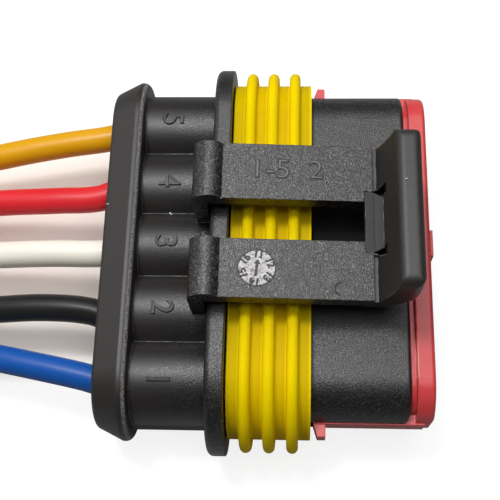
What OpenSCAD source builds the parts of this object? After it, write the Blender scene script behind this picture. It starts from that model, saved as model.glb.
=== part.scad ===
// Five-way sealed harness plug with its wires, lying latch up.
// X is the mating direction, Y runs along the row of cavities, Z is up.
// The origin is under the middle of the plug, on the surface it lies on.

/* [Cavity row] */
// Distance between neighbouring cavities
pitch = 6; // [5.8:0.1:7]
// Diameter of the rear part of a cavity, which holds the wire seal
seal_bore_d = 4.9; // [4.6:0.1:5.2]
// Depth of that rear part from the back face
seal_bore_len = 10.4; // [10:0.1:12]
// Diameter of the front part of a cavity, which holds the contact
contact_bore_d = 3.4; // [3.2:0.1:4]

/* [Housing] */
// Half height of the body and the nose
body_r = 3.7; // [3.5:0.1:4.2]
// Outer radius of each barrel
barrel_r = 3.85; // [3.6:0.05:4.2]
// Outer radius of the rear flange
rear_flange_r = 5.15; // [4.6:0.05:5.8]
// Thickness of the rear flange
rear_flange_t = 3.15; // [2.6:0.05:4.5]
// How far the rear flange narrows towards its back face
rear_taper = 1.15; // [0.4:0.05:1.3]
// Length of that taper
rear_taper_len = 2.35; // [1:0.05:2.5]
// Rounding of the rear flange's back edge
rear_back_round = 0.6; // [0.2:0.05:0.8]
// Rounding of the rear flange's front edge
rear_front_round = 0.6; // [0.2:0.05:0.7]
// Length of the numbered barrels between the two flanges
barrel_len = 6.55; // [4:0.05:9]
// Outer radius of the web that joins the barrels along the underside
web_r = 4.15; // [3.9:0.05:4.6]
// Depth of that web's upper edge below the cavity axes
web_drop = 0.6; // [0.3:0.05:1.5]
// Outer radius of the middle flange
mid_flange_r = 6.3; // [5.9:0.05:7]
// Thickness of the middle flange
mid_flange_t = 1.6; // [1.2:0.1:2.5]
// Rounding of the middle flange's back edge
mid_back_round = 0.55; // [0.2:0.05:0.9]
// Length of the nose in front of the interface seal
nose_len = 8.4; // [7.5:0.05:11]
// Rounding of the nose's front edge
nose_round = 0.3; // [0.2:0.05:0.8]
// Rounding of the nose's front corners, seen from above
nose_corner = 1.2; // [0.6:0.1:2.5]
// Rounding of the edges that stay crisp
edge_break = 0.1; // [0.05:0.01:0.15]

/* [Interface seal] */
// Length of the seal sleeve
seal_len = 7.05; // [6.2:0.05:9]
// Wall of the seal sleeve
seal_wall = 1.1; // [0.6:0.05:1.3]
// Height of a rib above the sleeve
rib_h = 1.15; // [0.4:0.05:1.4]
// Width of a rib
rib_w = 1; // [0.6:0.05:1.3]
// Distance between ribs
rib_pitch = 2; // [1.6:0.05:2.2]
// Gap between the middle flange and the seal
seal_gap = 0.15; // [0.05:0.05:0.4]

/* [Latch] */
// Width of one latch arm
arm_w = 5.1; // [3.5:0.1:6]
// Width of the window between the arms
window_w = 3.6; // [2.5:0.1:5]
// Thickness of an arm
arm_t = 1.4; // [1:0.05:1.8]
// Room between the middle flange and the arm for the mating shell
arm_gap = 1.2; // [1:0.05:2]
// Angle by which the arms fall towards the front
arm_slope = 3.4; // [0:0.1:4]
// Length of an arm from the rolled bend to its front edge
arm_len = 12.4; // [11:0.1:15]
// Diameter of the rolled bend at the back of an arm
bend_d = 2.9; // [2.4:0.05:3.2]
// Height of the bend above the arm
bend_crest = 0.6; // [0.4:0.05:0.8]
// Thickness of the leg under the bend
leg_t = 1.25; // [0.9:0.05:1.5]
// Height of the foot of the leg above the barrels
foot_h = 0.75; // [0.4:0.05:1]
// Depth of the crossbar behind the arms' front edge
crossbar_len = 0.65; // [0.5:0.05:1.5]
// How far the crossbar reaches below the arms
crossbar_drop = 0.15; // [0.05:0.05:0.4]
// Chamfer under the lip that leads the crossbar over the mating catch
crossbar_lead = 2.5; // [0.4:0.05:2.7]
// Width of the catch block in the middle of the crossbar
catch_w = 5.5; // [4:0.1:8]
// Length of the catch block in front of the arms
catch_len = 0.9; // [0.6:0.05:1.1]
// Width of the notch on each side of the catch block, at its wide end
notch_w = 1; // [0.5:0.05:1.2]
// Step from the arms down to the catch block
catch_step = 0.08; // [0.04:0.02:0.2]
// Depth of the groove between the arms and the lip
groove_depth = 0.4; // [0.3:0.05:0.9]
// Length of that groove
groove_len = 0.35; // [0.2:0.05:0.6]
// Height of the thumb lip above the arms
lip_h = 4; // [2:0.1:5]
// Thickness of the lip along its top
lip_t = 2; // [1.5:0.05:2.4]
// Distance by which the lip's rear face leans forwards
lip_lean = 1.75; // [1.4:0.05:2.8]
// Radius of the hollow in the lip's rear face
lip_hollow_r = 12; // [8:0.5:30]
// Rounding of the lip's upper corners
lip_corner = 0.95; // [0.5:0.05:1.6]
// Rounding of the lip's front corners, seen from above
lip_end_round = 1.2; // [0.5:0.05:1.5]
// Rounding of the lip's rear top edge
lip_edge = 0.6; // [0.1:0.05:0.7]
// Rounding of the lip's front top edge
lip_round = 0.6; // [0.2:0.05:0.7]

/* [Secondary lock] */
// Half height of the lock's front plate
plate_r = 3.6; // [3.3:0.05:3.65]
// Thickness of the front plate
plate_t = 1.55; // [1.2:0.05:2.5]
// Rounding of the plate's front edge
plate_round = 0.35; // [0.1:0.05:0.5]
// Half height of the neck behind the plate
neck_r = 2.9; // [2.7:0.05:3.2]
// Length of that neck
neck_len = 0.5; // [0.2:0.05:1.5]
// Half height of the plug inside the nose
plug_r = 2.3; // [2:0.05:2.35]
// Depth of the plug in the nose
plug_len = 3.5; // [2.5:0.1:3.8]
// Width of a side leg
side_leg_w = 2; // [1.8:0.1:3.6]
// Thickness of a side leg
side_leg_t = 1; // [0.7:0.05:1.1]
// Depth of a side leg's outer face below the end of the nose
side_leg_sink = 0.08; // [0.01:0.01:0.1]
// Gap between the interface seal and a side leg's tip
side_leg_set = 0.25; // [0.1:0.05:0.4]
// Rounding of the lock's front corners, seen from above
lock_corner = 0.9; // [0.4:0.05:1.4]
// Height of the barb above the side leg
barb_h = 1.1; // [0.5:0.05:1.3]
// Length of the barb's flat top
barb_len = 0.7; // [0.4:0.05:1.5]
// Length of the barb's ramp
barb_ramp = 0.35; // [0.2:0.05:1]
// Width of the barb
barb_w = 1.8; // [1:0.1:2.1]
// Width of a pin window
pin_window_w = 2; // [1.6:0.05:2.2]
// Height of a pin window
pin_window_h = 1.3; // [1:0.05:1.6]
// Depth of the lead-in round a pin window
pin_lead = 0.3; // [0.1:0.05:0.4]
// Width of the small pad on the plate's front
pad_w = 2.4; // [1:0.1:5]
// Height of the pad
pad_h = 1.5; // [0.8:0.1:2]
// How far the pad stands proud
pad_proud = 0.25; // [0.1:0.05:0.5]

/* [Wires and wire seals] */
// Outer diameter of a wire
wire_d = 2.5; // [1.8:0.05:2.6]
// Diameter of the stranded conductor
conductor_d = 1.6; // [1:0.05:1.6]
// Length of conductor bared for the crimp
strip_len = 2.6; // [2.4:0.1:3.4]
// Length of a wire seal's ribbed part
wire_seal_len = 6; // [5:0.1:6]
// Depth of a wire seal behind the back face
wire_seal_set = 1; // [0.5:0.1:1.2]
// Length of the wire seal's front sleeve
sleeve_len = 2; // [1.6:0.1:2.4]
// Wall of that sleeve
sleeve_wall = 0.45; // [0.3:0.05:0.5]
// Depth of the grooves between a wire seal's ribs
wire_rib_h = 0.3; // [0.1:0.05:0.4]
// Length of insulation in front of the wire seal
wire_past_seal = 0.3; // [0.1:0.05:0.5]

/* [Contacts] */
// Thickness of the contact's sheet metal
sheet_t = 0.3; // [0.2:0.02:0.3]
// Length of the insulation crimp round the seal's sleeve
ins_crimp_len = 1.8; // [1.2:0.1:1.9]
// Length of the conductor crimp
wire_crimp_len = 2; // [1.4:0.1:2.4]
// Length of the slope between the two crimps
crimp_slope_len = 1; // [0.6:0.05:1.2]
// Length of the neck between the conductor crimp and the receptacle
contact_neck_len = 0.7; // [0.4:0.05:1]
// Angle that the open floor of the contact wraps round the wire
floor_angle = 150; // [90:5:180]
// Outer width of the receptacle
receptacle_w = 2.2; // [2:0.05:2.25]
// Length of the receptacle
receptacle_len = 9; // [7:0.1:9.5]

/* [Clearances] */
// Radial play between a piece and the bore it sits in
seat_clear = 0.04; // [0.02:0.01:0.08]
// Play of the sliding lock
slide_clear = 0.08; // [0.05:0.01:0.1]
// Play round the foot of the latch
hinge_clear = 0.06; // [0.03:0.01:0.1]
// Gap between the latch leg and the middle flange
leg_gap = 0.15; // [0.1:0.01:0.3]

/* [Hidden] */
$fn = 64;
ways = 5;
ribs = 3;
wire_seal_grooves = 3;
wire_sides = 8;
// Overlap of shapes that are fused or cut through
eps = 0.2;
// Depth by which a corner rounding bites into the faces it joins
round_bite = 0.05;

black = [0.13, 0.13, 0.13];
seal_yellow = [0.95, 0.80, 0.04];
lock_red = [0.80, 0.16, 0.18];
brass = [0.80, 0.66, 0.38];
copper = [0.80, 0.48, 0.30];
wire_colours = [
  [0.10, 0.32, 0.72], [0.08, 0.08, 0.08], [0.95, 0.93, 0.88],
  [0.85, 0.12, 0.15], [0.86, 0.62, 0.05]
];

// Stations along X, from the back face to the front
span = (ways - 1) * pitch;
axis_z = mid_flange_r;
plug_total = rear_flange_t + barrel_len + mid_flange_t + seal_gap + seal_len
  + nose_len + neck_len + plate_t + pad_proud;
x_rear = -plug_total / 2;
x_barrel = x_rear + rear_flange_t;
x_mid = x_barrel + barrel_len;
x_seat = x_mid + mid_flange_t;
x_seal = x_seat + seal_gap;
x_nose = x_seal + seal_len;
x_front = x_nose + nose_len;
x_plate = x_front + neck_len;
x_face = x_plate + plate_t;

// Latch stations
latch_w = 2 * arm_w + window_w;
x_leg = x_mid - leg_gap - leg_t / 2;
z_foot = axis_z + body_r + foot_h;
x_bend = x_leg - leg_t / 2 + bend_d / 2;
x_arm = x_bend + bend_d / 2;
arm_h = mid_flange_r + arm_gap + arm_t;
z_bend = axis_z + arm_h + bend_crest - bend_d / 2;
x_arm_front = x_arm + arm_len;
x_window_front = x_arm_front - crossbar_len;
z_arm_front = axis_z + arm_h - arm_len * tan(arm_slope);
z_bar = z_arm_front - arm_t - crossbar_drop;
x_groove = x_arm_front + groove_len;
z_groove = z_arm_front - groove_depth;
x_catch = x_arm_front + catch_len;
z_catch = z_arm_front - catch_step;
x_lip = x_arm_front + lip_lean;
x_lip_front = x_lip + lip_t;
z_lip = z_arm_front + lip_h;

// Seals, lock and contact stations
seal_in_r = body_r + seat_clear;
seal_out_r = seal_in_r + seal_wall;
side_leg_out = span / 2 + body_r - side_leg_sink;
side_leg_in = side_leg_out - side_leg_t;
x_side_leg = x_nose + side_leg_set;
wire_hole_r = wire_d / 2 + seat_clear;
sleeve_r = wire_hole_r + sleeve_wall;
x_wire_seal = x_rear + wire_seal_set;
x_sleeve = x_wire_seal + wire_seal_len;
x_sleeve_end = x_sleeve + sleeve_len;
wire_seal_r = seal_bore_d / 2 - seat_clear;
ins_crimp_r = sleeve_r + seat_clear;
x_ins_crimp = x_sleeve_end - ins_crimp_len;
x_wire_end = x_sleeve_end + wire_past_seal;
wire_crimp_r = conductor_d / 2 + seat_clear;
x_wire_crimp = x_sleeve_end + crimp_slope_len;
x_receptacle = x_wire_crimp + wire_crimp_len + contact_neck_len;

// Free run of each wire from just behind the plug to its cut end
routes = [
  [[-16, -11.65, 6.25], [-20, -10.8, 6.1], [-26, -9.6, 5.6], [-32, -8.6, 4.8], [-38, -7.9, 3.8],
   [-44, -7.4, 2.8], [-50, -7.1, 2], [-56, -7, 1.5], [-62, -7.2, 1.3], [-68, -7.6, 1.3], [-74, -8.2, 1.3],
   [-80, -9, 1.3], [-86, -10, 1.3]],
  [[-16, -5.6, 6.25], [-20, -5.25, 6.1], [-26, -5.35, 5.5], [-32, -5.1, 4.7], [-38, -4.6, 3.7],
   [-44, -4.1, 2.7], [-50, -3.8, 1.9], [-56, -3.7, 1.4], [-62, -3.8, 1.3], [-68, -4.2, 1.3], [-74, -4.8, 1.3],
   [-80, -5.6, 1.3], [-87, -6.8, 1.3]],
  [[-16, -0.05, 6.25], [-20, 0, 6.1], [-26, 0, 5.4], [-32, -0.1, 4.5], [-38, -0.1, 3.5],
   [-44, -0.2, 2.5], [-50, -0.3, 1.8], [-56, -0.4, 1.4], [-62, -0.6, 1.3], [-68, -1, 1.3], [-74, -1.6, 1.3],
   [-80, -2.4, 1.3], [-88, -3.8, 1.3]],
  [[-16, 5.55, 6.25], [-20, 5.35, 6.1], [-26, 5.3, 5.5], [-32, 4.9, 4.7], [-38, 4.3, 3.7],
   [-44, 3.7, 2.7], [-50, 3.2, 1.9], [-56, 2.9, 1.4], [-62, 2.6, 1.3], [-68, 2.2, 1.3], [-74, 1.6, 1.3],
   [-80, 0.8, 1.3], [-87, -0.4, 1.3]],
  [[-16, 11.75, 6.25], [-20, 11.2, 6.1], [-26, 10.15, 5.7], [-32, 9, 4.9], [-38, 7.9, 3.9],
   [-44, 7, 2.9], [-50, 6.4, 2.1], [-56, 6, 1.5], [-62, 5.7, 1.3], [-68, 5.3, 1.3], [-74, 4.7, 1.3],
   [-80, 3.9, 1.3], [-86, 2.9, 1.3]]
];

function cavity_y(i) = (i - (ways + 1) / 2) * pitch;
function unit(v) = v / norm(v);

// Outline with round ends, long along Y
module stadium(r) {
  square([span, 2 * r], center = true);
  for (side = [-1, 1])
    translate([side * span / 2, 0]) circle(r = r);
}

// Extrudes a Y-Z drawing along X
module along_x(x, length) {
  translate([x, 0, axis_z]) rotate([90, 0, 90]) linear_extrude(length) children();
}

// Extrudes an X-Z drawing across Y
module across_y(width) {
  rotate([90, 0, 0]) linear_extrude(width, center = true) children();
}

// Sweeps a radius-X profile round the stadium
module round_stadium() {
  translate([0, 0, axis_z]) rotate([90, 0, 90]) {
    for (side = [0, 180])
      rotate([0, 0, side]) {
        translate([span / 2, 0, 0]) rotate([0, 0, -90]) rotate_extrude(angle = 180) children();
        translate([-span / 2, 0, 0]) rotate([90, 0, 90]) linear_extrude(span) children();
      }
  }
}

// Turns a radius-X profile about the axis of cavity i
module turned(i, angle = 360) {
  translate([0, cavity_y(i), axis_z]) rotate([90, 0, 90]) rotate([0, 0, -90 - angle / 2])
    rotate_extrude(angle = angle) children();
}

module tube_profile(x, length, r_in, r_out) {
  translate([r_in, x]) square([r_out - r_in, length]);
}

// What is cut off both front corners at [x, y] to round them, seen from above
module corner_cuts(x, y, r) {
  centre = [x - r + round_bite, y - r + round_bite];
  for (side = [0, 1])
    mirror([0, side, 0]) linear_extrude(z_lip + eps)
      difference() {
        translate(centre) square(r + eps);
        translate(centre) circle(r = r);
      }
}

// Rectangle from r_in to r_out with both outer corners rounded
module rim_profile(x, length, r_in, r_out, round_back, round_front) {
  polygon([
    [r_in, x], [r_out - round_back, x], [r_out, x + round_back],
    [r_out, x + length - round_front], [r_out - round_front, x + length], [r_in, x + length]
  ]);
  translate([r_out - round_back, x + round_back]) circle(r = round_back);
  translate([r_out - round_front, x + length - round_front]) circle(r = round_front);
}

// Rear flange: narrow at its rounded back edge, widest just before its rounded front edge
module rear_flange() {
  taper_angle = atan2(rear_taper, rear_taper_len);
  back_r = rear_flange_r - rear_taper;
  tangent = rear_back_round / tan(45 + taper_angle / 2);
  inner = back_r - tangent - eps;
  round_stadium() {
    polygon([
      [inner, x_rear], [back_r - tangent, x_rear],
      [back_r + tangent * sin(taper_angle), x_rear + tangent * cos(taper_angle)],
      [rear_flange_r, x_rear + rear_taper_len], [rear_flange_r, x_barrel - rear_front_round],
      [rear_flange_r - rear_front_round, x_barrel], [inner, x_barrel]
    ]);
    translate([back_r - tangent, x_rear + rear_back_round]) circle(r = rear_back_round);
    translate([rear_flange_r - rear_front_round, x_barrel - rear_front_round]) circle(r = rear_front_round);
  }
  along_x(x_rear, rear_flange_t) stadium(inner + eps / 2);
}

// Web that joins the barrels along the underside, with sides that slope out from the barrels
module barrel_web() {
  low = span / 2 + sqrt(web_r ^ 2 - web_drop ^ 2);
  high = span / 2 + barrel_r - round_bite;
  reach = span / 2 + web_r + eps;
  fall = (reach - high) * web_drop / (low - high);
  bottom = web_r + eps;
  along_x(x_barrel - eps, barrel_len + 2 * eps)
    intersection() {
      stadium(web_r);
      polygon([
        [-reach, -bottom], [reach, -bottom], [reach, -fall], [high, 0], [-high, 0], [-reach, -fall]
      ]);
    }
}

// Nose with its front edge rounded
module nose() {
  along_x(x_mid, x_front - nose_round - x_mid) stadium(body_r);
  along_x(x_front - nose_round, nose_round) stadium(body_r - nose_round);
  round_stadium()
    rim_profile(x_nose, nose_len, body_r - 2 * nose_round, body_r, edge_break, nose_round);
}

// Raised seat with a trough, in which the foot of a latch leg sits
module latch_seat(side) {
  seat_x = x_leg - leg_t / 2;
  translate([seat_x, side * (window_w + arm_w) / 2 - arm_w / 2, axis_z])
    cube([x_mid + eps - seat_x, arm_w, z_foot - axis_z]);
}

module housing() {
  color(black)
  difference() {
    union() {
      rear_flange();
      for (i = [1:ways])
        translate([x_barrel - eps, cavity_y(i), axis_z]) rotate([0, 90, 0])
          cylinder(r = barrel_r, h = barrel_len + 2 * eps);
      barrel_web();
      round_stadium()
        rim_profile(x_mid, mid_flange_t, body_r - eps, mid_flange_r, mid_back_round, edge_break);
      nose();
      for (side = [-1, 1])
        latch_seat(side);
    }
    for (i = [1:ways])
      translate([x_rear, cavity_y(i), axis_z]) rotate([0, 90, 0]) {
        translate([0, 0, -eps]) cylinder(d = seal_bore_d, h = seal_bore_len + eps);
        cylinder(d = contact_bore_d, h = x_front - plug_len - x_rear + eps);
      }
    along_x(x_front - plug_len - slide_clear, plug_len + slide_clear + eps) stadium(plug_r + slide_clear);
    for (side = [-1, 1])
      translate([x_nose - eps, side * side_leg_out, axis_z])
        translate([0, -side_leg_t - slide_clear, -side_leg_w / 2 - slide_clear])
          cube([nose_len + 2 * eps, 2 * (side_leg_t + slide_clear), side_leg_w + 2 * slide_clear]);
    corner_cuts(x_front, span / 2 + body_r, nose_corner);
    translate([x_leg, 0, z_foot]) across_y(latch_w + 2 * eps) circle(d = leg_t + 2 * hinge_clear);
  }
}

// Side view of a leg, its rolled bend and its arm
module arm_profile() {
  translate([x_leg, z_foot]) circle(d = leg_t);
  translate([x_leg - leg_t / 2, z_foot]) square([leg_t, z_bend - z_foot]);
  z_back = axis_z + arm_h + (x_arm - x_bend) * tan(arm_slope);
  difference() {
    translate([x_bend, z_bend]) circle(d = bend_d);
    translate([x_leg + leg_t / 2, z_back - arm_t - bend_d]) square(bend_d);
  }
  polygon([
    [x_bend, z_back - arm_t], [x_arm_front, z_arm_front - arm_t], [x_arm_front, z_arm_front], [x_bend, z_back]
  ]);
}

// Side view of the crossbar and the lip, whose rear face is hollowed for the thumb
// by an arc from the foot of the lip to its rounded top edge
module lip_profile() {
  foot = [x_groove, z_groove];
  top = [x_lip, z_lip];
  chord = top - foot;
  half = norm(chord) / 2;
  away = [-chord[1], chord[0]] / norm(chord);
  hollow = (foot + top) / 2 + away * sqrt(lip_hollow_r ^ 2 - half ^ 2);
  edge_z = z_lip - lip_edge;
  edge = [hollow[0] + sqrt((lip_hollow_r + lip_edge) ^ 2 - (edge_z - hollow[1]) ^ 2), edge_z];
  edge_end = hollow + (edge - hollow) * lip_hollow_r / (lip_hollow_r + lip_edge);
  bar_back = x_window_front - eps;
  difference() {
    union() {
      polygon([
        [x_groove - eps, z_bar], [x_lip_front - crossbar_lead, z_bar], [x_lip_front, z_bar + crossbar_lead],
        [x_lip_front, z_lip - lip_round], [x_lip_front - lip_round, z_lip], [x_groove - eps, z_lip]
      ]);
      translate([x_lip_front - lip_round, z_lip - lip_round]) circle(r = lip_round);
    }
    translate(hollow) circle(r = lip_hollow_r);
    polygon([edge_end, edge, [edge[0], z_lip + eps], [edge_end[0] - eps, z_lip + eps]]);
  }
  translate(edge) circle(r = lip_edge);
  translate([bar_back, z_bar]) square([x_groove + eps - bar_back, z_groove - z_bar]);
}

// Front view of the lip with its upper corners rounded
module lip_front_view() {
  z_low = z_bar - eps - axis_z;
  z_high = z_lip - axis_z;
  translate([-latch_w / 2, z_low]) square([latch_w, z_high - lip_corner - z_low]);
  translate([-latch_w / 2 + lip_corner, z_low]) square([latch_w - 2 * lip_corner, z_high - z_low]);
  for (side = [-1, 1])
    translate([side * (latch_w / 2 - lip_corner), z_high - lip_corner]) circle(r = lip_corner);
}

// Catch block that fills the middle of the groove behind the lip
module catch_block() {
  low = z_groove - eps;
  translate([x_arm_front - eps, -catch_w / 2 - eps, low])
    cube([catch_len + 2 * eps, catch_w + 2 * eps, z_arm_front - catch_step / 2 - low]);
}

// Room over the catch block, and the notches beside it, which are narrow at the arms
module catch_room() {
  tip = catch_w / 2 - round_bite;
  translate([x_window_front - round_bite, -catch_w / 2, z_catch])
    cube([x_catch - x_window_front + round_bite, catch_w, lip_h]);
  for (side = [-1, 1])
    translate([x_arm_front - round_bite, side * tip, z_bar - eps]) linear_extrude(z_lip - z_bar)
      polygon([[0, 0], [catch_len + eps, -notch_w / 2], [catch_len + eps, notch_w / 2]]);
}

module latch() {
  color(black)
  difference() {
    union() {
      across_y(latch_w) arm_profile();
      difference() {
        intersection() {
          across_y(latch_w + 2 * eps) lip_profile();
          along_x(x_window_front - 2 * eps, x_lip_front - x_window_front + 3 * eps) lip_front_view();
        }
        corner_cuts(x_lip_front, latch_w / 2, lip_end_round);
      }
      catch_block();
    }
    catch_room();
    translate([x_leg - bend_d, -window_w / 2, axis_z])
      cube([x_window_front - x_leg + bend_d, window_w, z_bend + bend_d - axis_z]);
  }
}

// Sleeve with rounded ribs, stretched over the body
module interface_seal() {
  color(seal_yellow)
  round_stadium() {
    tube_profile(x_seal, seal_len, seal_in_r, seal_out_r);
    for (rib = [1:ribs])
      translate([seal_out_r, x_seal + seal_len / 2 + (rib - (ribs + 1) / 2) * rib_pitch]) {
        translate([-eps, -rib_w / 2]) square([rib_h - rib_w / 2 + eps, rib_w]);
        translate([rib_h - rib_w / 2, 0]) circle(d = rib_w);
      }
  }
}

// Side leg with the barb that keeps the interface seal on the body
module side_leg() {
  barb_end = x_side_leg + barb_ramp + barb_len;
  translate([x_side_leg, side_leg_in, axis_z - side_leg_w / 2])
    cube([x_plate + plate_t / 2 - x_side_leg, side_leg_t, side_leg_w]);
  translate([0, 0, axis_z - barb_w / 2]) linear_extrude(barb_w)
    polygon([
      [x_side_leg, side_leg_out - eps], [barb_end, side_leg_out - eps], [barb_end, side_leg_out + barb_h],
      [x_side_leg + barb_ramp, side_leg_out + barb_h], [x_side_leg, side_leg_out]
    ]);
}

module secondary_lock() {
  color(lock_red)
  difference() {
    union() {
      along_x(x_front - plug_len, plug_len + eps) stadium(plug_r);
      along_x(x_front + slide_clear, neck_len - slide_clear + eps) stadium(neck_r);
      along_x(x_plate, plate_t) stadium(plate_r - plate_round);
      round_stadium()
        rim_profile(x_plate, plate_t, plate_r - 2 * plate_round, plate_r, edge_break, plate_round);
      translate([x_face - eps, -pad_w / 2, axis_z + plate_r - plate_round - pad_h])
        cube([pad_proud + eps, pad_w, pad_h]);
      for (side = [0, 1])
        mirror([0, side, 0]) side_leg();
    }
    corner_cuts(x_face, side_leg_out, lock_corner);
    for (i = [1:ways])
      translate([0, cavity_y(i), axis_z]) {
        translate([x_front - plug_len - eps, -pin_window_w / 2, -pin_window_h / 2])
          cube([x_face - x_front + plug_len + 2 * eps, pin_window_w, pin_window_h]);
        translate([x_face - pin_lead, -pin_window_w / 2 - pin_lead, -pin_window_h / 2 - pin_lead])
          cube([pin_lead + eps, pin_window_w + 2 * pin_lead, pin_window_h + 2 * pin_lead]);
      }
  }
}

// Silicone plug round a wire: ribs and a front sleeve that the contact grips
module wire_seal(i) {
  groove_w = wire_seal_len / (2 * wire_seal_grooves + 1);
  color(seal_yellow)
  turned(i) difference() {
    union() {
      tube_profile(x_wire_seal, wire_seal_len, wire_hole_r, wire_seal_r);
      tube_profile(x_wire_seal, wire_seal_len + sleeve_len, wire_hole_r, sleeve_r);
    }
    for (groove = [1:wire_seal_grooves])
      translate([wire_seal_r - wire_rib_h, x_wire_seal + (2 * groove - 1) * groove_w])
        square([wire_rib_h + eps, groove_w]);
  }
}

// Folded sheet contact: insulation crimp, conductor crimp and box receptacle
module contact(i) {
  hollow_w = receptacle_w - 2 * sheet_t;
  color(brass) {
    turned(i) tube_profile(x_ins_crimp, ins_crimp_len, ins_crimp_r, ins_crimp_r + sheet_t);
    turned(i, floor_angle) polygon([
      [ins_crimp_r, x_sleeve_end - eps], [ins_crimp_r + sheet_t, x_sleeve_end - eps],
      [ins_crimp_r + sheet_t, x_sleeve_end], [wire_crimp_r + sheet_t, x_wire_crimp],
      [wire_crimp_r + sheet_t, x_receptacle + eps], [wire_crimp_r, x_receptacle + eps],
      [wire_crimp_r, x_wire_crimp], [ins_crimp_r, x_sleeve_end]
    ]);
    turned(i) tube_profile(x_wire_crimp, wire_crimp_len, wire_crimp_r, wire_crimp_r + sheet_t);
    difference() {
      translate([x_receptacle, cavity_y(i) - receptacle_w / 2, axis_z - receptacle_w / 2])
        cube([receptacle_len, receptacle_w, receptacle_w]);
      translate([x_receptacle - eps, cavity_y(i) - hollow_w / 2, axis_z - hollow_w / 2])
        cube([receptacle_len + 2 * eps, hollow_w, hollow_w]);
    }
  }
}

// Bared strands in the conductor crimp
module conductor(i) {
  color(copper)
  translate([x_wire_end, cavity_y(i), axis_z]) rotate([0, 90, 0])
    cylinder(d = conductor_d, h = strip_len);
}

// Insulated wire from the crimp, through its seal, to its cut end
module wire(i) {
  path = concat([[x_wire_end, cavity_y(i), axis_z], [x_rear, cavity_y(i), axis_z]], routes[i - 1]);
  last = len(path) - 1;
  ring_points = [
    for (k = [0:last])
      let (
        ahead = unit(path[min(k + 1, last)] - path[max(k - 1, 0)]),
        level = unit(cross([0, 0, 1], ahead)),
        steep = cross(ahead, level)
      )
      for (s = [0:wire_sides - 1])
        let (turn = 360 * (s + 0.5) / wire_sides)
          path[k] + wire_d / 2 * (cos(turn) * level + sin(turn) * steep)
  ];
  side_faces = [
    for (k = [0:last - 1], s = [0:wire_sides - 1])
      let (next = (s + 1) % wire_sides)
        [k * wire_sides + s, (k + 1) * wire_sides + s, (k + 1) * wire_sides + next, k * wire_sides + next]
  ];
  start_face = [[for (s = [0:wire_sides - 1]) s]];
  end_face = [[for (s = [wire_sides - 1:-1:0]) last * wire_sides + s]];
  color(wire_colours[i - 1])
    polyhedron(ring_points, concat(start_face, side_faces, end_face));
}

housing();
latch();
interface_seal();
secondary_lock();
for (i = [1:ways]) {
  wire_seal(i);
  contact(i);
  conductor(i);
  wire(i);
}
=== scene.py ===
# Five-way sealed harness plug, lying latch up on a white table with its wires.
import math

import bpy
from mathutils import Matrix, Vector


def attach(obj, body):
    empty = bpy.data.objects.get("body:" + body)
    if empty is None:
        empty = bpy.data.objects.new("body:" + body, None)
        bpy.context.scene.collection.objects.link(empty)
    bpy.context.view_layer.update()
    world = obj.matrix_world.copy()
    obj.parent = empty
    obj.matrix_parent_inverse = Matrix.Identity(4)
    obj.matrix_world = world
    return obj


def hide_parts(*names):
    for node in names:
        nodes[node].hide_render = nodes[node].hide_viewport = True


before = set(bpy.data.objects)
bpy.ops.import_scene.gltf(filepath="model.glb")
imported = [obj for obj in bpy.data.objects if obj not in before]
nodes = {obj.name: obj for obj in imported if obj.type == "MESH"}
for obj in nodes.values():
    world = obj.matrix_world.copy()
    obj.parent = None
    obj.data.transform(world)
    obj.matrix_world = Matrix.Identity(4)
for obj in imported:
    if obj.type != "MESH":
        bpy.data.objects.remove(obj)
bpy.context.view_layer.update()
bpy.ops.object.select_all(action="DESELECT")

# Housing
# The plug body is one injection moulding in black glass-filled nylon, from a spark-eroded steel mould.
# The mould leaves a fine sparkling grain, which fades out along the barrels to the dull rear flange.
MM = 0.001
# Bounds of the light grey strip painted on the front rim of the rear flange as its highlight.
RIM_X = -11.88
RIM_END_X = -11.52
RIM_FADE = 0.1
# Bounds of the dark shade painted on the nose under the latch's window.
POCKET_X = 3.4
POCKET_END_X = 9.8
POCKET_HALF_W = 3.4
POCKET_Z = 9.0
POCKET_FADE = 1
POCKET_BACK_FADE = 0.2
POCKET_TOP_FADE = 0.4
PAST_FRONT_X = 20


def node(tree, kind, inputs=None, **settings):
    """One shader node. An input that is given a socket is linked to it."""
    made = tree.nodes.new(kind)
    for key, value in settings.items():
        setattr(made, key, value)
    for key, value in (inputs or {}).items():
        if isinstance(value, bpy.types.NodeSocket):
            tree.links.new(value, made.inputs[key])
        else:
            made.inputs[key].default_value = value
    return made


def new_group(name, inputs, outputs):
    """A shader node group with float inputs and outputs of the given kinds, and its two end nodes."""
    tree = bpy.data.node_groups.new(name, "ShaderNodeTree")
    for label, value in inputs.items():
        socket = tree.interface.new_socket(label, in_out="INPUT", socket_type="NodeSocketFloat")
        socket.default_value = value
    for label, kind in outputs.items():
        tree.interface.new_socket(label, in_out="OUTPUT", socket_type=f"NodeSocket{kind}")
    return tree, tree.nodes.new("NodeGroupInput"), tree.nodes.new("NodeGroupOutput")


def object_place(tree):
    """The place of a point in the part's own frame."""
    return node(tree, "ShaderNodeTexCoord").outputs["Object"]


def noise(tree, place, scale, detail, roughness=0.5):
    """A cloudy value between 0 and 1."""
    return node(tree, "ShaderNodeTexNoise", {"Vector": place, "Scale": scale, "Detail": detail,
                                             "Roughness": roughness}).outputs["Fac"]


def combine(tree, operation, first, second):
    """Two values, combined by an operation of the Math node."""
    return node(tree, "ShaderNodeMath", {0: first, 1: second}, operation=operation).outputs[0]


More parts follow.
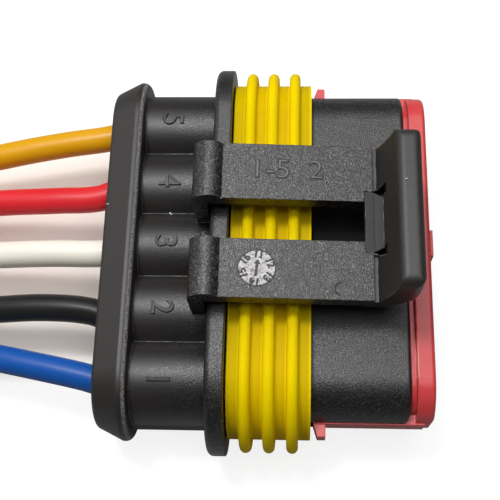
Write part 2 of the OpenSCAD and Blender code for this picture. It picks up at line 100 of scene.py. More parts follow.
def make_grain_group():
    """Spark-eroded grain: its height, its bright specks and the slow change of tone across a face."""
    speck_rarity = 3.6
    tree, given, out = new_group("eroded_grain", {"Grain Scale": 6500.0, "Speck Scale": 6800.0},
                                 {"Height": "Float", "Speck": "Float", "Tone": "Float"})
    place = object_place(tree)
    height = noise(tree, place, given.outputs["Grain Scale"], detail=2.0, roughness=0.65)
    cells = node(tree, "ShaderNodeTexVoronoi", {"Vector": place, "Scale": given.outputs["Speck Scale"]})
    pick = node(tree, "ShaderNodeSeparateColor", {"Color": cells.outputs["Color"]})
    speck = combine(tree, "POWER", pick.outputs["Red"], speck_rarity)
    tone = noise(tree, place, scale=320.0, detail=4.0, roughness=0.6)
    tree.links.new(height, out.inputs["Height"])
    tree.links.new(speck, out.inputs["Speck"])
    tree.links.new(tone, out.inputs["Tone"])
    return tree


def ramp(tree, value, start=0.0, end=1.0, first=0.0, last=1.0):
    """A value that runs from first to last while the given value runs from start to end."""
    return node(tree, "ShaderNodeMapRange", {"Value": value, "From Min": start, "From Max": end,
                                             "To Min": first, "To Max": last}).outputs[0]


def overlap(tree, masks):
    """The product of all the masks."""
    joined = masks[0]
    for mask in masks[1:]:
        joined = combine(tree, "MULTIPLY", joined, mask)
    return joined


def make_edge_group():
    """Moulded edges: a normal that rounds each sharp edge, and a ragged mask where the flash rubbed off."""
    flat_cosine, edge_cosine = 0.99, 0.85
    tree, given, out = new_group("rubbed_edge", {"Radius": 0.12 * MM, "Wear": 0.7},
                                 {"Mask": "Float", "Normal": "Vector"})
    rounded = node(tree, "ShaderNodeBevel", {"Radius": given.outputs["Radius"]}, samples=6).outputs[0]
    flat = node(tree, "ShaderNodeNewGeometry").outputs["Normal"]
    turn = node(tree, "ShaderNodeVectorMath", {0: rounded, 1: flat}, operation="DOT_PRODUCT")
    near = ramp(tree, turn.outputs["Value"], start=flat_cosine, end=edge_cosine)
    patchy = noise(tree, object_place(tree), scale=1300.0, detail=3.0, roughness=0.7)
    worn = ramp(tree, patchy, start=0.38, end=0.62)
    tree.links.new(overlap(tree, [near, worn, given.outputs["Wear"]]), out.inputs["Mask"])
    tree.links.new(rounded, out.inputs["Normal"])
    return tree


grain_group = make_grain_group()
edge_group = make_edge_group()


def new_material(name):
    """An empty node material: its tree and its Principled shader."""
    material = bpy.data.materials.new(name)
    material.use_nodes = True
    return material, material.node_tree, material.node_tree.nodes["Principled BSDF"]


def blend_colour(tree, factor, dark, light):
    """A colour that runs from dark to light with the factor. Either end may be a socket."""
    mix = node(tree, "ShaderNodeMix", data_type="RGBA")
    tree.links.new(factor, mix.inputs["Factor"])
    for end, value in (("A", dark), ("B", light)):
        socket = next(s for s in mix.inputs if s.name == end and s.type == "RGBA")
        if isinstance(value, bpy.types.NodeSocket):
            tree.links.new(value, socket)
        else:
            socket.default_value = (*value, 1.0)
    return next(s for s in mix.outputs if s.type == "RGBA")


def make_black_nylon(name, grain_scale, speck_scale, speck_colour, smooth_x, grainy_x, soft_x, patches):
    """Black nylon, smooth and dull past smooth_x and with its full grain past grainy_x, along X.

    Edges in front of soft_x are well rounded and unworn.
    Each patch has a function that makes its mask, and a colour and a roughness of its own.
    """
    smooth_colour = (0.022, 0.0195, 0.018)
    dark_grain, light_grain = (0.006, 0.0056, 0.0055), (0.012, 0.0114, 0.0112)
    worn_colour = (0.29, 0.285, 0.28)
    smooth_roughness, grain_roughness, speck_roughness = 0.48, 0.32, 0.20
    least_grain, grain_slope = 0.12, 0.34
    sharp_radius, soft_radius, soft_fade = 0.14, 0.45, 0.2
    edge_wear = 0.9
    material, tree, shader = new_material(name)
    grain = node(tree, "ShaderNodeGroup", {"Grain Scale": grain_scale, "Speck Scale": speck_scale},
                 node_tree=grain_group)
    place = node(tree, "ShaderNodeSeparateXYZ", {"Vector": object_place(tree)})
    along = place.outputs["X"]
    soft = {"start": soft_x * MM, "end": (soft_x + soft_fade) * MM}
    radius = ramp(tree, along, **soft, first=sharp_radius * MM, last=soft_radius * MM)
    wear = ramp(tree, along, **soft, first=edge_wear, last=0.0)
    edge = node(tree, "ShaderNodeGroup", {"Radius": radius, "Wear": wear}, node_tree=edge_group)
    amount = ramp(tree, along, start=smooth_x * MM, end=grainy_x * MM, first=least_grain)
    speck = combine(tree, "MULTIPLY", grain.outputs["Speck"], amount)
    height = combine(tree, "MULTIPLY", grain.outputs["Height"], amount)
    tone = blend_colour(tree, grain.outputs["Tone"], dark_grain, light_grain)
    tone = blend_colour(tree, amount, smooth_colour, tone)
    colour = blend_colour(tree, speck, tone, speck_colour)
    dull = ramp(tree, amount, first=smooth_roughness, last=grain_roughness)
    rough = ramp(tree, speck, first=dull, last=speck_roughness)
    for find_patch, patch_colour, patch_roughness in patches:
        patch = find_patch(tree, place)
        colour = blend_colour(tree, patch, colour, patch_colour)
        rough = node(tree, "ShaderNodeMix", {"Factor": patch, "A": rough, "B": patch_roughness}).outputs[0]
    colour = blend_colour(tree, edge.outputs["Mask"], colour, worn_colour)
    bump = node(tree, "ShaderNodeBump", {"Height": height, "Strength": 1.0,
                                         "Distance": grain_slope / grain_scale,
                                         "Normal": edge.outputs["Normal"]})
    tree.links.new(colour, shader.inputs["Base Color"])
    tree.links.new(rough, shader.inputs["Roughness"])
    tree.links.new(bump.outputs[0], shader.inputs["Normal"])
    shader.inputs["Specular IOR Level"].default_value = 0.52
    return material


def mask_rim(tree, place):
    """One along the front rim of the rear flange, which is painted light grey in patches as its highlight.
    """
    rise = ramp(tree, place.outputs["X"], RIM_X * MM, (RIM_X + RIM_FADE) * MM)
    fall = ramp(tree, place.outputs["X"], RIM_END_X * MM, (RIM_END_X - RIM_FADE) * MM)
    rim_noise = noise(tree, object_place(tree), scale=8000.0, detail=2.0)
    patchy = ramp(tree, rim_noise, start=0.36, end=0.6)
    return overlap(tree, [rise, fall, patchy])


def magnitude(tree, value):
    """A value without its sign."""
    return node(tree, "ShaderNodeMath", {0: value}, operation="ABSOLUTE").outputs[0]


def mask_pocket(tree, place):
    """One on top of the nose under the latch's window, which is painted dark and dull as the shade under the
    latch.
    """
    x, z = place.outputs["X"], place.outputs["Z"]
    away = magnitude(tree, place.outputs["Y"])
    across = ramp(tree, away, POCKET_HALF_W * MM, (POCKET_HALF_W - POCKET_FADE) * MM)
    back = ramp(tree, x, POCKET_X * MM, (POCKET_X + POCKET_BACK_FADE) * MM)
    front = ramp(tree, x, POCKET_END_X * MM, (POCKET_END_X - POCKET_FADE) * MM)
    above = ramp(tree, z, POCKET_Z * MM, (POCKET_Z + POCKET_TOP_FADE) * MM)
    return overlap(tree, [across, back, front, above])


def dress(piece, material):
    """Gives a piece one material for all its faces."""
    piece.data.materials.clear()
    piece.data.materials.append(material)


# Two patches are painted on the housing: a light grey highlight on the rim of the rear flange, and dark
# shade on the nose under the latch's window.
dress(nodes["housing"], make_black_nylon(
    "housing_nylon", grain_scale=9000.0, speck_scale=9500.0, speck_colour=(0.045, 0.0435, 0.0425),
    smooth_x=-11.9, grainy_x=-4.0, soft_x=PAST_FRONT_X,
    patches=[(mask_rim, (0.27, 0.262, 0.257), 0.45), (mask_pocket, (0.003, 0.0028, 0.0027), 1.0)]))

# Cavity numbers
# Each barrel carries its cavity's number, a thin raised figure that reads from the front of the plug.
# The figures were engraved in the mould, so they are smoother than the grain round them, and they are
# painted darker as shade so that they read as dark strokes.
AXIS_Z = 6.3
BARREL_R = 3.85
PITCH = 6
MIDDLE_WAY = 3
NUMBER_X = -9.0
NUMBER_SQUEEZE = 0.92
number_rows = {1: -12.6, 2: -6.3, 3: -0.2, 4: 5.65, 5: 11.9}


def make_smooth_nylon(name, dark, light):
    """Smooth black nylon from a part of the mould that was cut or polished after the erosion, in a given
    pair of tones, painted darker as shade or lighter as a highlight.
    """
    material, tree, shader = new_material(name)
    grain = node(tree, "ShaderNodeGroup", node_tree=grain_group)
    rough = ramp(tree, grain.outputs["Height"], start=0.3, end=0.7, first=0.4, last=0.55)
    tree.links.new(blend_colour(tree, grain.outputs["Tone"], dark, light), shader.inputs["Base Color"])
    tree.links.new(rough, shader.inputs["Roughness"])
    return material


# Painted darker than the grain, as the shade on the raised figures and marks.
painted_dark_nylon = make_smooth_nylon("painted_dark_nylon", (0.005, 0.005, 0.005), (0.012, 0.012, 0.012))


def add_figures(name, figures, size, extrude, thinner):
    """Raised figures as a mesh, lying flat round the origin."""
    bpy.ops.object.select_all(action="DESELECT")
    bpy.ops.object.text_add()
    text = bpy.context.object
    text.data.body = figures
    text.data.size = size * MM
    text.data.align_x = "CENTER"
    text.data.align_y = "CENTER"
    text.data.extrude = extrude * MM
    text.data.offset = -thinner * MM
    text.data.bevel_depth = 0.03 * MM
    text.data.bevel_resolution = 1
    bpy.ops.object.convert(target="MESH")
    made = bpy.context.object
    made.name = name
    bpy.ops.object.mode_set(mode="EDIT")
    bpy.ops.mesh.select_all(action="SELECT")
    bpy.ops.mesh.remove_doubles(threshold=0.0005 * MM)
    bpy.ops.mesh.normals_make_consistent(inside=False)
    bpy.ops.object.mode_set(mode="OBJECT")
    return made


def turned(degrees):
    """A turn about Z."""
    return Matrix.Rotation(math.radians(degrees), 4, "Z")


def settle(piece, matrix):
    """Puts a piece in its place and leaves that place in its mesh."""
    bpy.ops.object.select_all(action="DESELECT")
    piece.select_set(True)
    bpy.context.view_layer.objects.active = piece
    piece.matrix_world = matrix
    bpy.ops.object.transform_apply(location=True, rotation=True, scale=True)


def make_cavity_number(way, y):
    """One number, bowed down on both sides to follow its barrel."""
    number = add_figures(f"cavity_number_{way}", str(way), size=2.75, extrude=0.15, thinner=-0.02)
    settle(number, Matrix.Translation(Vector((NUMBER_X, y, AXIS_Z + BARREL_R)) * MM)
           @ turned(-90) @ Matrix.Diagonal((NUMBER_SQUEEZE, 1.0, 1.0, 1.0)))
    barrel_y = (way - MIDDLE_WAY) * PITCH * MM
    for corner in number.data.vertices:
        corner.co.z -= (corner.co.y - barrel_y) ** 2 / (2 * BARREL_R * MM)
    dress(number, painted_dark_nylon)
    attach(number, "plug")


for way, y in number_rows.items():
    make_cavity_number(way, y)

# Latch
# Two arms rise from rolled bends at the back, and a crossbar joins them under the thumb lip.
# It is moulded with the housing in the same black nylon; the crossbar and the lip are smooth.
CATCH_X = 8.3
CATCH_END_X = 9.95
CATCH_HALF_W = 2.75
CATCH_COVER = 0.9


def mask_catch(tree, place):
    """Nearly one on the catch block in the middle of the crossbar, which is painted dark as shade, since it
    catches less light than the arms.
    """
    across = combine(tree, "LESS_THAN", magnitude(tree, place.outputs["Y"]), CATCH_HALF_W * MM)
    back = combine(tree, "GREATER_THAN", place.outputs["X"], CATCH_X * MM)
    front = combine(tree, "LESS_THAN", place.outputs["X"], CATCH_END_X * MM)
    return overlap(tree, [across, back, front, CATCH_COVER])


# The catch block on the crossbar is painted darker as shade.
dress(nodes["latch"], make_black_nylon(
    "latch_nylon", grain_scale=7600.0, speck_scale=7000.0, speck_colour=(0.085, 0.082, 0.080),
    smooth_x=9.15, grainy_x=9.0, soft_x=10.5, patches=[(mask_catch, (0.010, 0.0097, 0.0095), 0.6)]))

# Date dial
# A round steel insert in the mould left its stamp on one arm: a bright, scratched disc.
# The ring of numbers and the arrow on it are dark and slightly raised.
ARM_TOP_X = -3.4
ARM_TOP_Z = 15.2
ARM_SLOPE = math.radians(3.4)
DIAL_X = -0.61
DIAL_Y = -4.35
DIAL_R = 1.6
DIAL_TURN = -7
DIAL_NUMBERS = range(11, 17)
DIAL_NUMBERS_R = 1.17
ARROW_W = 0.22
ARROW_H = 0.06
ARROW_BACK_Y = -0.62
arrow_steps = [(0.85, 1.0), (0.0, 2.7), (0.36, 0.12)]


def on_arm(x, y, above=0.0):
    """The frame of a place on the top of the latch arms, which fall towards the front."""
    top = ARM_TOP_Z - (x - ARM_TOP_X) * math.tan(ARM_SLOPE)
    return Matrix.Translation(Vector((x, y, top + above)) * MM) @ Matrix.Rotation(ARM_SLOPE, 4, "Y")


def select_faces(piece, wanted):
    """Selects the faces of a piece in edit mode that answer the test."""
    bpy.ops.mesh.select_all(action="DESELECT")
    bpy.ops.object.mode_set(mode="OBJECT")
    for face in piece.data.polygons:
        face.select = wanted(face)
    bpy.ops.object.mode_set(mode="EDIT")


def make_dial_finish():
    """The pale stamp of a pitted steel face, with scratches that run one way."""
    material, tree, shader = new_material("bright_dial")
    place = object_place(tree)
    pits = node(tree, "ShaderNodeTexVoronoi", {"Vector": place, "Scale": 7000.0})
    pick = node(tree, "ShaderNodeSeparateColor", {"Color": pits.outputs["Color"]})
    drag = node(tree, "ShaderNodeMapping", {"Vector": place, "Rotation": (0.0, 0.0, math.radians(35)),
                                            "Scale": (0.18, 1.0, 1.0)})
    scratch = noise(tree, drag.outputs[0], scale=6500.0, detail=2.0)
    both = combine(tree, "ADD", pick.outputs["Red"], scratch)
    bright = ramp(tree, both, start=0.45, end=1.25)
    colour = blend_colour(tree, bright, (0.16, 0.152, 0.152), (0.60, 0.58, 0.58))
    bump = node(tree, "ShaderNodeBump", {"Height": both, "Strength": 0.4, "Distance": 0.02 * MM})
    tree.links.new(colour, shader.inputs["Base Color"])
    tree.links.new(ramp(tree, scratch, first=0.35, last=0.6), shader.inputs["Roughness"])
    tree.links.new(bump.outputs[0], shader.inputs["Normal"])
    return material


def make_dial():
    """A flat disc with a fine dark rim, painted as the shade of the recess round the stamp, and the bright
    finish on the face inside the rim.
    """
    bpy.ops.object.select_all(action="DESELECT")
    bpy.ops.mesh.primitive_cylinder_add(vertices=64, radius=DIAL_R * MM, depth=0.14 * MM)
    dial = bpy.context.object
    dial.name = "date_dial"
    dress(dial, painted_dark_nylon)
    dial.data.materials.append(make_dial_finish())
    bpy.ops.object.mode_set(mode="EDIT")
    select_faces(dial, lambda face: face.normal.z > 0.9)
    bpy.ops.mesh.inset(thickness=0.07 * MM, depth=0.0)
    bpy.ops.mesh.inset(thickness=0.03 * MM, depth=-0.02 * MM)
    bpy.context.object.active_material_index = 1
    bpy.ops.object.material_slot_assign()
    bpy.ops.object.mode_set(mode="OBJECT")
    settle(dial, on_arm(DIAL_X, DIAL_Y, above=-0.03))
    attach(dial, "latch")


def join(pieces, name):
    """Makes one piece of several."""
    bpy.ops.object.select_all(action="DESELECT")
    for piece in pieces:
        piece.select_set(True)
    bpy.context.view_layer.objects.active = pieces[0]
    bpy.ops.object.join()
    joined = bpy.context.object
    joined.name = name
    return joined


def make_dial_numbers():
    """Six plain numbers in a ring, with their heads outwards."""
    numbers = []
    for step, number in enumerate(DIAL_NUMBERS):
        figures = add_figures(f"dial_number_{step}", str(number), size=0.86, extrude=0.02, thinner=-0.004)
        settle(figures, on_arm(DIAL_X, DIAL_Y, above=0.02)
               @ turned(DIAL_TURN - 360 / len(DIAL_NUMBERS) * step)
               @ Matrix.Translation((0.0, DIAL_NUMBERS_R * MM, 0.0)))
        numbers.append(figures)
    ring = join(numbers, "dial_numbers")
    dress(ring, painted_dark_nylon)
    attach(ring, "latch")


def make_dial_arrow():
    """An arrow drawn out of a small square: its shaft, the width of its head and its point."""
    bpy.ops.object.select_all(action="DESELECT")
    bpy.ops.mesh.primitive_plane_add(size=ARROW_W * MM)
    arrow = bpy.context.object
    arrow.name = "dial_arrow"
    bpy.ops.object.mode_set(mode="EDIT")
    bpy.ops.mesh.select_all(action="DESELECT")
    bpy.ops.object.mode_set(mode="OBJECT")
    for edge in arrow.data.edges:
        edge.select = all(arrow.data.vertices[k].co.y > 0 for k in edge.vertices)
    bpy.ops.object.mode_set(mode="EDIT")
    for length, widening in arrow_steps:
        bpy.ops.mesh.extrude_region_move(TRANSFORM_OT_translate={"value": (0.0, length * MM, 0.0)})
        bpy.ops.transform.resize(value=(widening, 1.0, 1.0))
    bpy.ops.mesh.select_all(action="SELECT")
    bpy.ops.mesh.extrude_region_move(TRANSFORM_OT_translate={"value": (0.0, 0.0, ARROW_H * MM)})
    bpy.ops.mesh.select_all(action="SELECT")
    bpy.ops.mesh.normals_make_consistent(inside=False)
    bpy.ops.object.mode_set(mode="OBJECT")
    settle(arrow, on_arm(DIAL_X, DIAL_Y) @ turned(DIAL_TURN)
           @ Matrix.Translation((0.0, ARROW_BACK_Y * MM, 0.0)))
    dress(arrow, painted_dark_nylon)
    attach(arrow, "latch")


make_dial()
make_dial_numbers()
make_dial_arrow()

# Mould number and ejector mark
# The other arm carries plain raised figures: the range of cavities and the number of the mould cavity.
# The pin that pushed the latch out of the mould left a faint raised arc near its front.
MOULD_NUMBER_X = 1.75
MOULD_NUMBER_Y = 4.5
MOULD_NUMBER_STRETCH = 1.08
EJECTOR_X = 6.3
EJECTOR_Y = -5.95
EJECTOR_SQUASH = 0.8
# The tops of the raised figures are painted light grey as their highlight.
painted_highlight_nylon = make_smooth_nylon("painted_highlight_nylon", (0.10, 0.098, 0.098), (0.16, 0.157, 0.155))


def make_mould_number(name, extrude, thinner, material):
    """The figures on the arm, with their tops painted light as their highlight, or the wider dark foot that
    they stand on, painted as the shade round their edges.
    """
    number = add_figures(name, "1-5  2", 2.45, extrude, thinner)
    settle(number, on_arm(MOULD_NUMBER_X, MOULD_NUMBER_Y)
           @ Matrix.Diagonal((MOULD_NUMBER_STRETCH, 1.0, 1.0, 1.0)))
    dress(number, material)
    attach(number, "latch")


make_mould_number("mould_number", extrude=0.06, thinner=0.07, material=painted_highlight_nylon)
make_mould_number("mould_number_shade_foot", extrude=0.01, thinner=-0.02, material=painted_dark_nylon)


def make_ejector_mark():
    """Part of a thin ring, half sunk in the arm and closed at both ends."""
    bpy.ops.object.select_all(action="DESELECT")
    bpy.ops.mesh.primitive_torus_add(major_radius=0.53 * MM, minor_radius=0.06 * MM,
                                     major_segments=48, minor_segments=8)
    mark = bpy.context.object
    mark.name = "ejector_mark"
    bpy.ops.object.mode_set(mode="EDIT")
    bpy.ops.mesh.select_all(action="SELECT")
    bpy.ops.mesh.bisect(plane_co=(-0.12 * MM, 0.0, 0.0), plane_no=(0.9, -0.1, 0.0), clear_outer=True)
    bpy.ops.mesh.select_all(action="DESELECT")
    bpy.ops.mesh.select_mode(type="EDGE")
    bpy.ops.mesh.select_non_manifold()
    bpy.ops.mesh.edge_face_add()
    bpy.ops.mesh.select_all(action="SELECT")
    bpy.ops.mesh.normals_make_consistent(inside=False)
    bpy.ops.object.mode_set(mode="OBJECT")
    bpy.ops.object.shade_smooth_by_angle(angle=math.radians(40))
    settle(mark, on_arm(EJECTOR_X, EJECTOR_Y, above=-0.01)
           @ Matrix.Diagonal((1.0, 1.0, EJECTOR_SQUASH, 1.0)))
    dress(mark, painted_dark_nylon)
    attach(mark, "latch")


make_ejector_mark()

# Interface seal
# A moulded silicone sleeve with three ribs is stretched over the body against the middle flange.
# The rubber is matt from its mould and slightly cloudy. It is painted deeper and darker between the ribs as
# their shade, and the lighter rib colour is painted out onto the rib feet over the shade there.
RIB_X = 0.375
RIB_PITCH = 2
RIB_HALF_W = 0.60
RIB_FOOT_HALF_W = 0.72


def make_seal_silicone():
    """Cloudy yellow rubber, lighter on the ribs and their feet, and painted darker between them as shade."""
    material, tree, shader = new_material("yellow_silicone")
    place = object_place(tree)
    cloud = noise(tree, place, scale=350.0, detail=4.0, roughness=0.6)
    along = node(tree, "ShaderNodeSeparateXYZ", {"Vector": place}).outputs["X"]
    from_first = combine(tree, "ADD", along, -RIB_X * MM)
    off_rib = combine(tree, "PINGPONG", from_first, RIB_PITCH / 2 * MM)
    # The rib colour reaches past each rib onto its feet, painted over their shade.
    rib = ramp(tree, off_rib, RIB_FOOT_HALF_W * MM, RIB_HALF_W * MM)
    dark = blend_colour(tree, rib, (0.58, 0.405, 0.0004), (0.80, 0.575, 0.0004))
    light = blend_colour(tree, rib, (0.67, 0.495, 0.0006), (0.88, 0.67, 0.0006))
    rough = ramp(tree, cloud, start=0.3, end=0.7, first=0.46, last=0.60)
    tree.links.new(blend_colour(tree, cloud, dark, light), shader.inputs["Base Color"])
    tree.links.new(rough, shader.inputs["Roughness"])
    shader.inputs["Specular IOR Level"].default_value = 0.03
    return material


seal_silicone = make_seal_silicone()
dress(nodes["interface_seal"], seal_silicone)

# Secondary lock
# The red front piece is pushed into the nose once the contacts are in, and its side legs snap over the seal.
# It is moulded in red polyester with a satin face and softly rubbed edges.


def make_lock_plastic():
    """Satin red plastic, slightly cloudy and paler where its edges are rubbed."""
    material, tree, shader = new_material("red_plastic")
    edge = node(tree, "ShaderNodeGroup", {"Wear": 0.3}, node_tree=edge_group)
    cloud = noise(tree, object_place(tree), scale=420.0, detail=4.0, roughness=0.6)
    colour = blend_colour(tree, cloud, (0.60, 0.048, 0.050), (0.70, 0.070, 0.072))
    colour = blend_colour(tree, edge.outputs["Mask"], colour, (0.80, 0.25, 0.24))
    rough = ramp(tree, cloud, start=0.3, end=0.7, first=0.22, last=0.32)
    bump = node(tree, "ShaderNodeBump", {"Height": cloud, "Strength": 0.1, "Distance": 0.03 * MM,
                                         "Normal": edge.outputs["Normal"]})
    tree.links.new(colour, shader.inputs["Base Color"])
    tree.links.new(rough, shader.inputs["Roughness"])
    tree.links.new(bump.outputs[0], shader.inputs["Normal"])
    return material


dress(nodes["secondary_lock"], make_lock_plastic())

# Wire seals
# A small silicone plug seals each wire in its bore.
# It is threaded on the wire before the crimp and pushed in with the contact.
WAYS = range(1, 6)
for way in WAYS:
    dress(nodes[f"wire_seal_{way}"], seal_silicone)

# Contacts and conductors
# Each receptacle is stamped and folded from tinned brass strip.
# It is crimped on the bared copper strands and on the sleeve of the wire seal.
ROUGHNESS_SPREAD = 0.08


def make_metal(name, dark, light, roughness):
    """Drawn or rolled metal, whose roughness varies a little round the given one."""
    material, tree, shader = new_material(name)
    rolled = noise(tree, object_place(tree), scale=1500.0, detail=3.0)
    rough = ramp(tree, rolled, first=roughness - ROUGHNESS_SPREAD, last=roughness + ROUGHNESS_SPREAD)
    tree.links.new(blend_colour(tree, rolled, dark, light), shader.inputs["Base Color"])
    tree.links.new(rough, shader.inputs["Roughness"])
    shader.inputs["Metallic"].default_value = 1.0
    return material


contact_brass = make_metal("tinned_brass", (0.58, 0.53, 0.42), (0.72, 0.67, 0.55), roughness=0.3)
strand_copper = make_metal("copper_strand", (0.55, 0.24, 0.11), (0.75, 0.38, 0.20), roughness=0.35)
for way in WAYS:
    dress(nodes[f"contact_{way}"], contact_brass)
    dress(nodes[f"conductor_{way}"], strand_copper)

# Wires
# Five stranded copper wires in extruded PVC, one for each cavity.
# Each leaves the plug through its seal, sinks to the table and is cut off square at its far end.
WIRE_D = 2.5 * MM
BACK_X = -14.6
CRIMP_X = -5.3
STRAND_R = 0.26
STRAND_L = 0.6
STRAND_RING_R = 0.53
OUTER_STRANDS = 6
wire_routes = {
    1: [(-16, -11.65, 6.25), (-20, -10.8, 6.1), (-26, -9.6, 5.6), (-32, -8.6, 4.8), (-38, -7.9, 3.8),
        (-44, -7.4, 2.8), (-50, -7.1, 2), (-56, -7, 1.5), (-62, -7.2, 1.3), (-68, -7.6, 1.3),
        (-74, -8.2, 1.3), (-80, -9, 1.3), (-86, -10, 1.3)],
    2: [(-16, -5.6, 6.25), (-20, -5.25, 6.1), (-26, -5.35, 5.5), (-32, -5.1, 4.7), (-38, -4.6, 3.7),
        (-44, -4.1, 2.7), (-50, -3.8, 1.9), (-56, -3.7, 1.4), (-62, -3.8, 1.3), (-68, -4.2, 1.3),
        (-74, -4.8, 1.3), (-80, -5.6, 1.3), (-87, -6.8, 1.3)],
    3: [(-16, -0.05, 6.25), (-20, 0, 6.1), (-26, 0, 5.4), (-32, -0.1, 4.5), (-38, -0.1, 3.5),
        (-44, -0.2, 2.5), (-50, -0.3, 1.8), (-56, -0.4, 1.4), (-62, -0.6, 1.3), (-68, -1, 1.3),
        (-74, -1.6, 1.3), (-80, -2.4, 1.3), (-88, -3.8, 1.3)],
    4: [(-16, 5.55, 6.25), (-20, 5.35, 6.1), (-26, 5.3, 5.5), (-32, 4.9, 4.7), (-38, 4.3, 3.7),
        (-44, 3.7, 2.7), (-50, 3.2, 1.9), (-56, 2.9, 1.4), (-62, 2.6, 1.3), (-68, 2.2, 1.3),
        (-74, 1.6, 1.3), (-80, 0.8, 1.3), (-87, -0.4, 1.3)],
    5: [(-16, 11.75, 6.25), (-20, 11.2, 6.1), (-26, 10.15, 5.7), (-32, 9, 4.9), (-38, 7.9, 3.9),
        (-44, 7, 2.9), (-50, 6.4, 2.1), (-56, 6, 1.5), (-62, 5.7, 1.3), (-68, 5.3, 1.3),
        (-74, 4.7, 1.3), (-80, 3.9, 1.3), (-86, 2.9, 1.3)],
}
wire_colours = {
    1: ("blue", (0.006, 0.076, 0.35), (0.010, 0.105, 0.44)),
    2: ("black", (0.012, 0.012, 0.012), (0.020, 0.020, 0.020)),
    3: ("white", (0.88, 0.83, 0.72), (0.95, 0.91, 0.82)),
    4: ("red", (0.70, 0.017, 0.026), (0.80, 0.032, 0.042)),
    5: ("yellow", (0.70, 0.32, 0.002), (0.82, 0.42, 0.005)),
}


def make_insulation(name, dark, light):
    """Smooth PVC with faint streaks along the wire from its extrusion."""
    material, tree, shader = new_material(f"{name}_insulation")
    along = node(tree, "ShaderNodeMapping", {"Vector": object_place(tree), "Scale": (0.12, 1.0, 1.0)})
    drawn = noise(tree, along.outputs[0], scale=900.0, detail=3.0)
    rough = ramp(tree, drawn, start=0.3, end=0.7, first=0.28, last=0.42)
    tree.links.new(blend_colour(tree, drawn, dark, light), shader.inputs["Base Color"])
    tree.links.new(rough, shader.inputs["Roughness"])
    shader.inputs["Specular IOR Level"].default_value = 0.3
    return material


def apply_bevel(piece, width, segments):
    """Rounds the edges of a piece."""
    bevel = piece.modifiers.new("rounded", "BEVEL")
    bevel.width = width * MM
    bevel.segments = segments
    bpy.context.view_layer.objects.active = piece
    bpy.ops.object.modifier_apply(modifier=bevel.name)


def make_strand_end(way, end, back):
    """The cut ends of six strands round a seventh, which stand a hair proud of the insulation."""
    bpy.ops.object.select_all(action="DESELECT")
    bpy.ops.mesh.primitive_cylinder_add(vertices=12, radius=STRAND_R * MM, depth=STRAND_L * MM)
    middle = bpy.context.object
    apply_bevel(middle, width=0.04, segments=2)
    strands = [middle]
    for step in range(OUTER_STRANDS):
        cut = middle.copy()
        cut.data = middle.data.copy()
        bpy.context.scene.collection.objects.link(cut)
        settle(cut, turned(360 / OUTER_STRANDS * step)
               @ Matrix.Translation((STRAND_RING_R * MM, 0.0, 0.0)))
        strands.append(cut)
    bundle = join(strands, f"strand_end_{way}")
    settle(bundle, Matrix.Translation(end) @ (end - back).to_track_quat("Z", "Y").to_matrix().to_4x4())
    dress(bundle, strand_copper)
    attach(bundle, "plug")
    return bundle


def make_wire(way, route):
    """One wire from its crimp along its route, with its cut strands at the far end."""
    y = (way - MIDDLE_WAY) * PITCH
    path = [Vector(p) * MM for p in [(CRIMP_X, y, AXIS_Z), (BACK_X, y, AXIS_Z), *route]]
    curve = bpy.data.curves.new(f"wire_run_{way}", "CURVE")
    curve.dimensions = "3D"
    curve.resolution_u = 8
    curve.bevel_depth = WIRE_D / 2
    curve.bevel_resolution = 8
    curve.use_fill_caps = True
    spline = curve.splines.new("BEZIER")
    spline.bezier_points.add(len(path) - 1)
    for point, place in zip(spline.bezier_points, path):
        point.co = place
        point.handle_left_type = "AUTO"
        point.handle_right_type = "AUTO"
    wire = bpy.data.objects.new(f"wire_run_{way}", curve)
    bpy.context.scene.collection.objects.link(wire)
    name, dark, light = wire_colours[way]
    dress(wire, make_insulation(name, dark, light))
    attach(wire, "plug")
    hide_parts(f"wire_{way}")
    make_strand_end(way, path[-1], path[-2])


for way, route in wire_routes.items():
    make_wire(way, route)

# Lint
# A few pale flakes of packing dust lie on the plug, in the places where they catch the light.
# Each is a thin torn scrap, stuck to the face under it.
FLAKE_R = 0.5
TORN_SHARE = 0.35
TORN_STEP = 7.0
TORN_WAVES_X = 4100.0
TORN_WAVES_Y = 6300.0


def make_lint_finish():
    """Dull, pale and slightly green paper fibre."""
    material, tree, shader = new_material("pale_lint")
    fibre = noise(tree, object_place(tree), scale=9000.0, detail=2.0)
    colour = blend_colour(tree, fibre, (0.45, 0.48, 0.46), (0.80, 0.82, 0.80))
    tree.links.new(colour, shader.inputs["Base Color"])
    shader.inputs["Roughness"].default_value = 0.8
    return material


pale_lint = make_lint_finish()


def make_flake(number, place, size, turn, body):
    """A small ball of uneven outline, pressed to the size of a flake."""
    bpy.ops.object.select_all(action="DESELECT")
    bpy.ops.mesh.primitive_ico_sphere_add(subdivisions=2, radius=FLAKE_R * MM)
    flake = bpy.context.object
    flake.name = f"lint_{number}"
    for corner in flake.data.vertices:
        waves = TORN_STEP * number + TORN_WAVES_X * corner.co.x + TORN_WAVES_Y * corner.co.y
        corner.co *= 1.0 + TORN_SHARE * math.sin(waves)
    settle(flake, Matrix.Translation(Vector(place) * MM) @ turned(turn) @ Matrix.Diagonal((*size, 1.0)))
    dress(flake, pale_lint)
    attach(flake, body)


make_flake(1, (-8.8, 2.93, 8.83), (0.5, 0.16, 0.12), -35, "plug")
make_flake(2, (-3.75, 1.78, 15.2), (0.16, 0.14, 0.1), 0, "latch")
make_flake(3, (11.4, 2.1, 18.5), (0.2, 0.14, 0.1), 20, "latch")
make_flake(4, (-14.3, 3.2, 10.44), (0.24, 0.18, 0.12), 10, "plug")

# Table, light and camera
# The plug lies on white paper under a large soft light and a small lamp, with a low fill behind the wires.
# The paper glows white to the camera, except between the wires, where it is only lit and keeps their shade,
# and is tinted warm as painted light bounced from the wires.
PAPER_GLOW = 0.84
SHADE_GLOW = 0.10
MIRROR_GLOW = 0.06
ROOM_LIGHT = 0.08
shade_limits = [("X", -10, -13), ("X", -45, -28), ("Y", -11, -8), ("Y", 16, 13)]


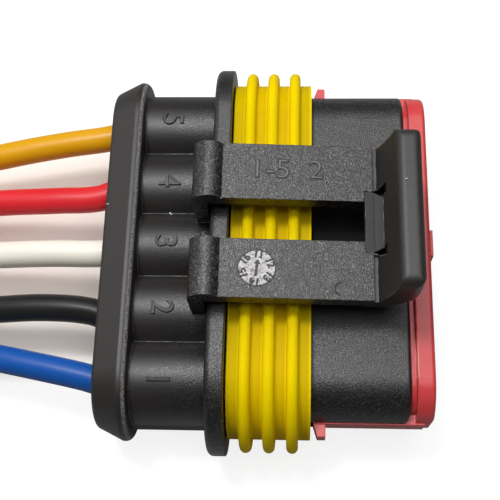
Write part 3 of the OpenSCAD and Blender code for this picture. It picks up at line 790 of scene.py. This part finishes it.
def make_table_finish():
    """White paper that glows to the camera, apart from the place among the wires, which is only lit and is
    tinted warm as painted bounce light from the wires.
    """
    material, tree, shader = new_material("white_table")
    place = node(tree, "ShaderNodeSeparateXYZ", {"Vector": object_place(tree)})
    among = overlap(tree, [ramp(tree, place.outputs[axis], start * MM, end * MM)
                           for axis, start, end in shade_limits])
    # Among the wires the paper is tinted warm, a painted reflection of the wires' colours.
    colour = blend_colour(tree, among, (0.30, 0.30, 0.30), (0.95, 0.88, 0.82))
    white = ramp(tree, among, first=PAPER_GLOW, last=SHADE_GLOW)
    path = node(tree, "ShaderNodeLightPath")
    seen = combine(tree, "MAXIMUM", path.outputs["Is Camera Ray"], path.outputs["Is Transmission Ray"])
    mirrored = combine(tree, "MULTIPLY", path.outputs["Is Glossy Ray"], MIRROR_GLOW)
    glow = combine(tree, "MULTIPLY", combine(tree, "ADD", mirrored, seen), white)
    tree.links.new(colour, shader.inputs["Base Color"])
    tree.links.new(glow, shader.inputs["Emission Strength"])
    shader.inputs["Emission Color"].default_value = (1.0, 1.0, 1.0, 1.0)
    shader.inputs["Roughness"].default_value = 0.8
    shader.inputs["Specular IOR Level"].default_value = 0.0
    return material


bpy.ops.object.select_all(action="DESELECT")
bpy.ops.mesh.primitive_plane_add(size=3)
table = bpy.context.object
table.name = "table"
dress(table, make_table_finish())

world = bpy.data.worlds.new("room")
bpy.context.scene.world = world
world.use_nodes = True
tree = world.node_tree
to_camera = node(tree, "ShaderNodeLightPath").outputs["Is Camera Ray"]
room = tree.nodes["Background"]
room.inputs["Color"].default_value = (1.0, 1.0, 1.0, 1.0)
tree.links.new(ramp(tree, to_camera, first=ROOM_LIGHT), room.inputs["Strength"])


def add_lamp(name, place, width, height, power):
    """A rectangular lamp that faces the plug. Its place and size are in metres, its power in watts."""
    bpy.ops.object.light_add(type="AREA", location=place)
    lamp = bpy.context.object
    lamp.name = name
    lamp.data.shape = "RECTANGLE"
    lamp.data.size = width
    lamp.data.size_y = height
    lamp.data.energy = power
    lamp.rotation_euler = (-lamp.location).to_track_quat("-Z", "Y").to_euler()


add_lamp("soft_light", (0.01, 0.085, 0.29), width=0.28, height=0.34, power=0.64)
add_lamp("small_lamp", (-0.06, 0.07, 0.30), width=0.06, height=0.06, power=0.42)
add_lamp("low_fill", (-0.32, 0.16, 0.18), width=0.30, height=0.25, power=0.30)

bpy.ops.object.camera_add(location=Vector((2.794, -29.935, 88.272)) * MM)
camera = bpy.context.object
camera.rotation_euler = [math.radians(angle) for angle in (20.369, 2.584, 1.418)]
camera.data.sensor_width = 36.0
camera.data.lens = 68.44
camera.data.clip_start = 0.002
bpy.context.scene.camera = camera
bpy.context.scene.view_settings.view_transform = "Standard"
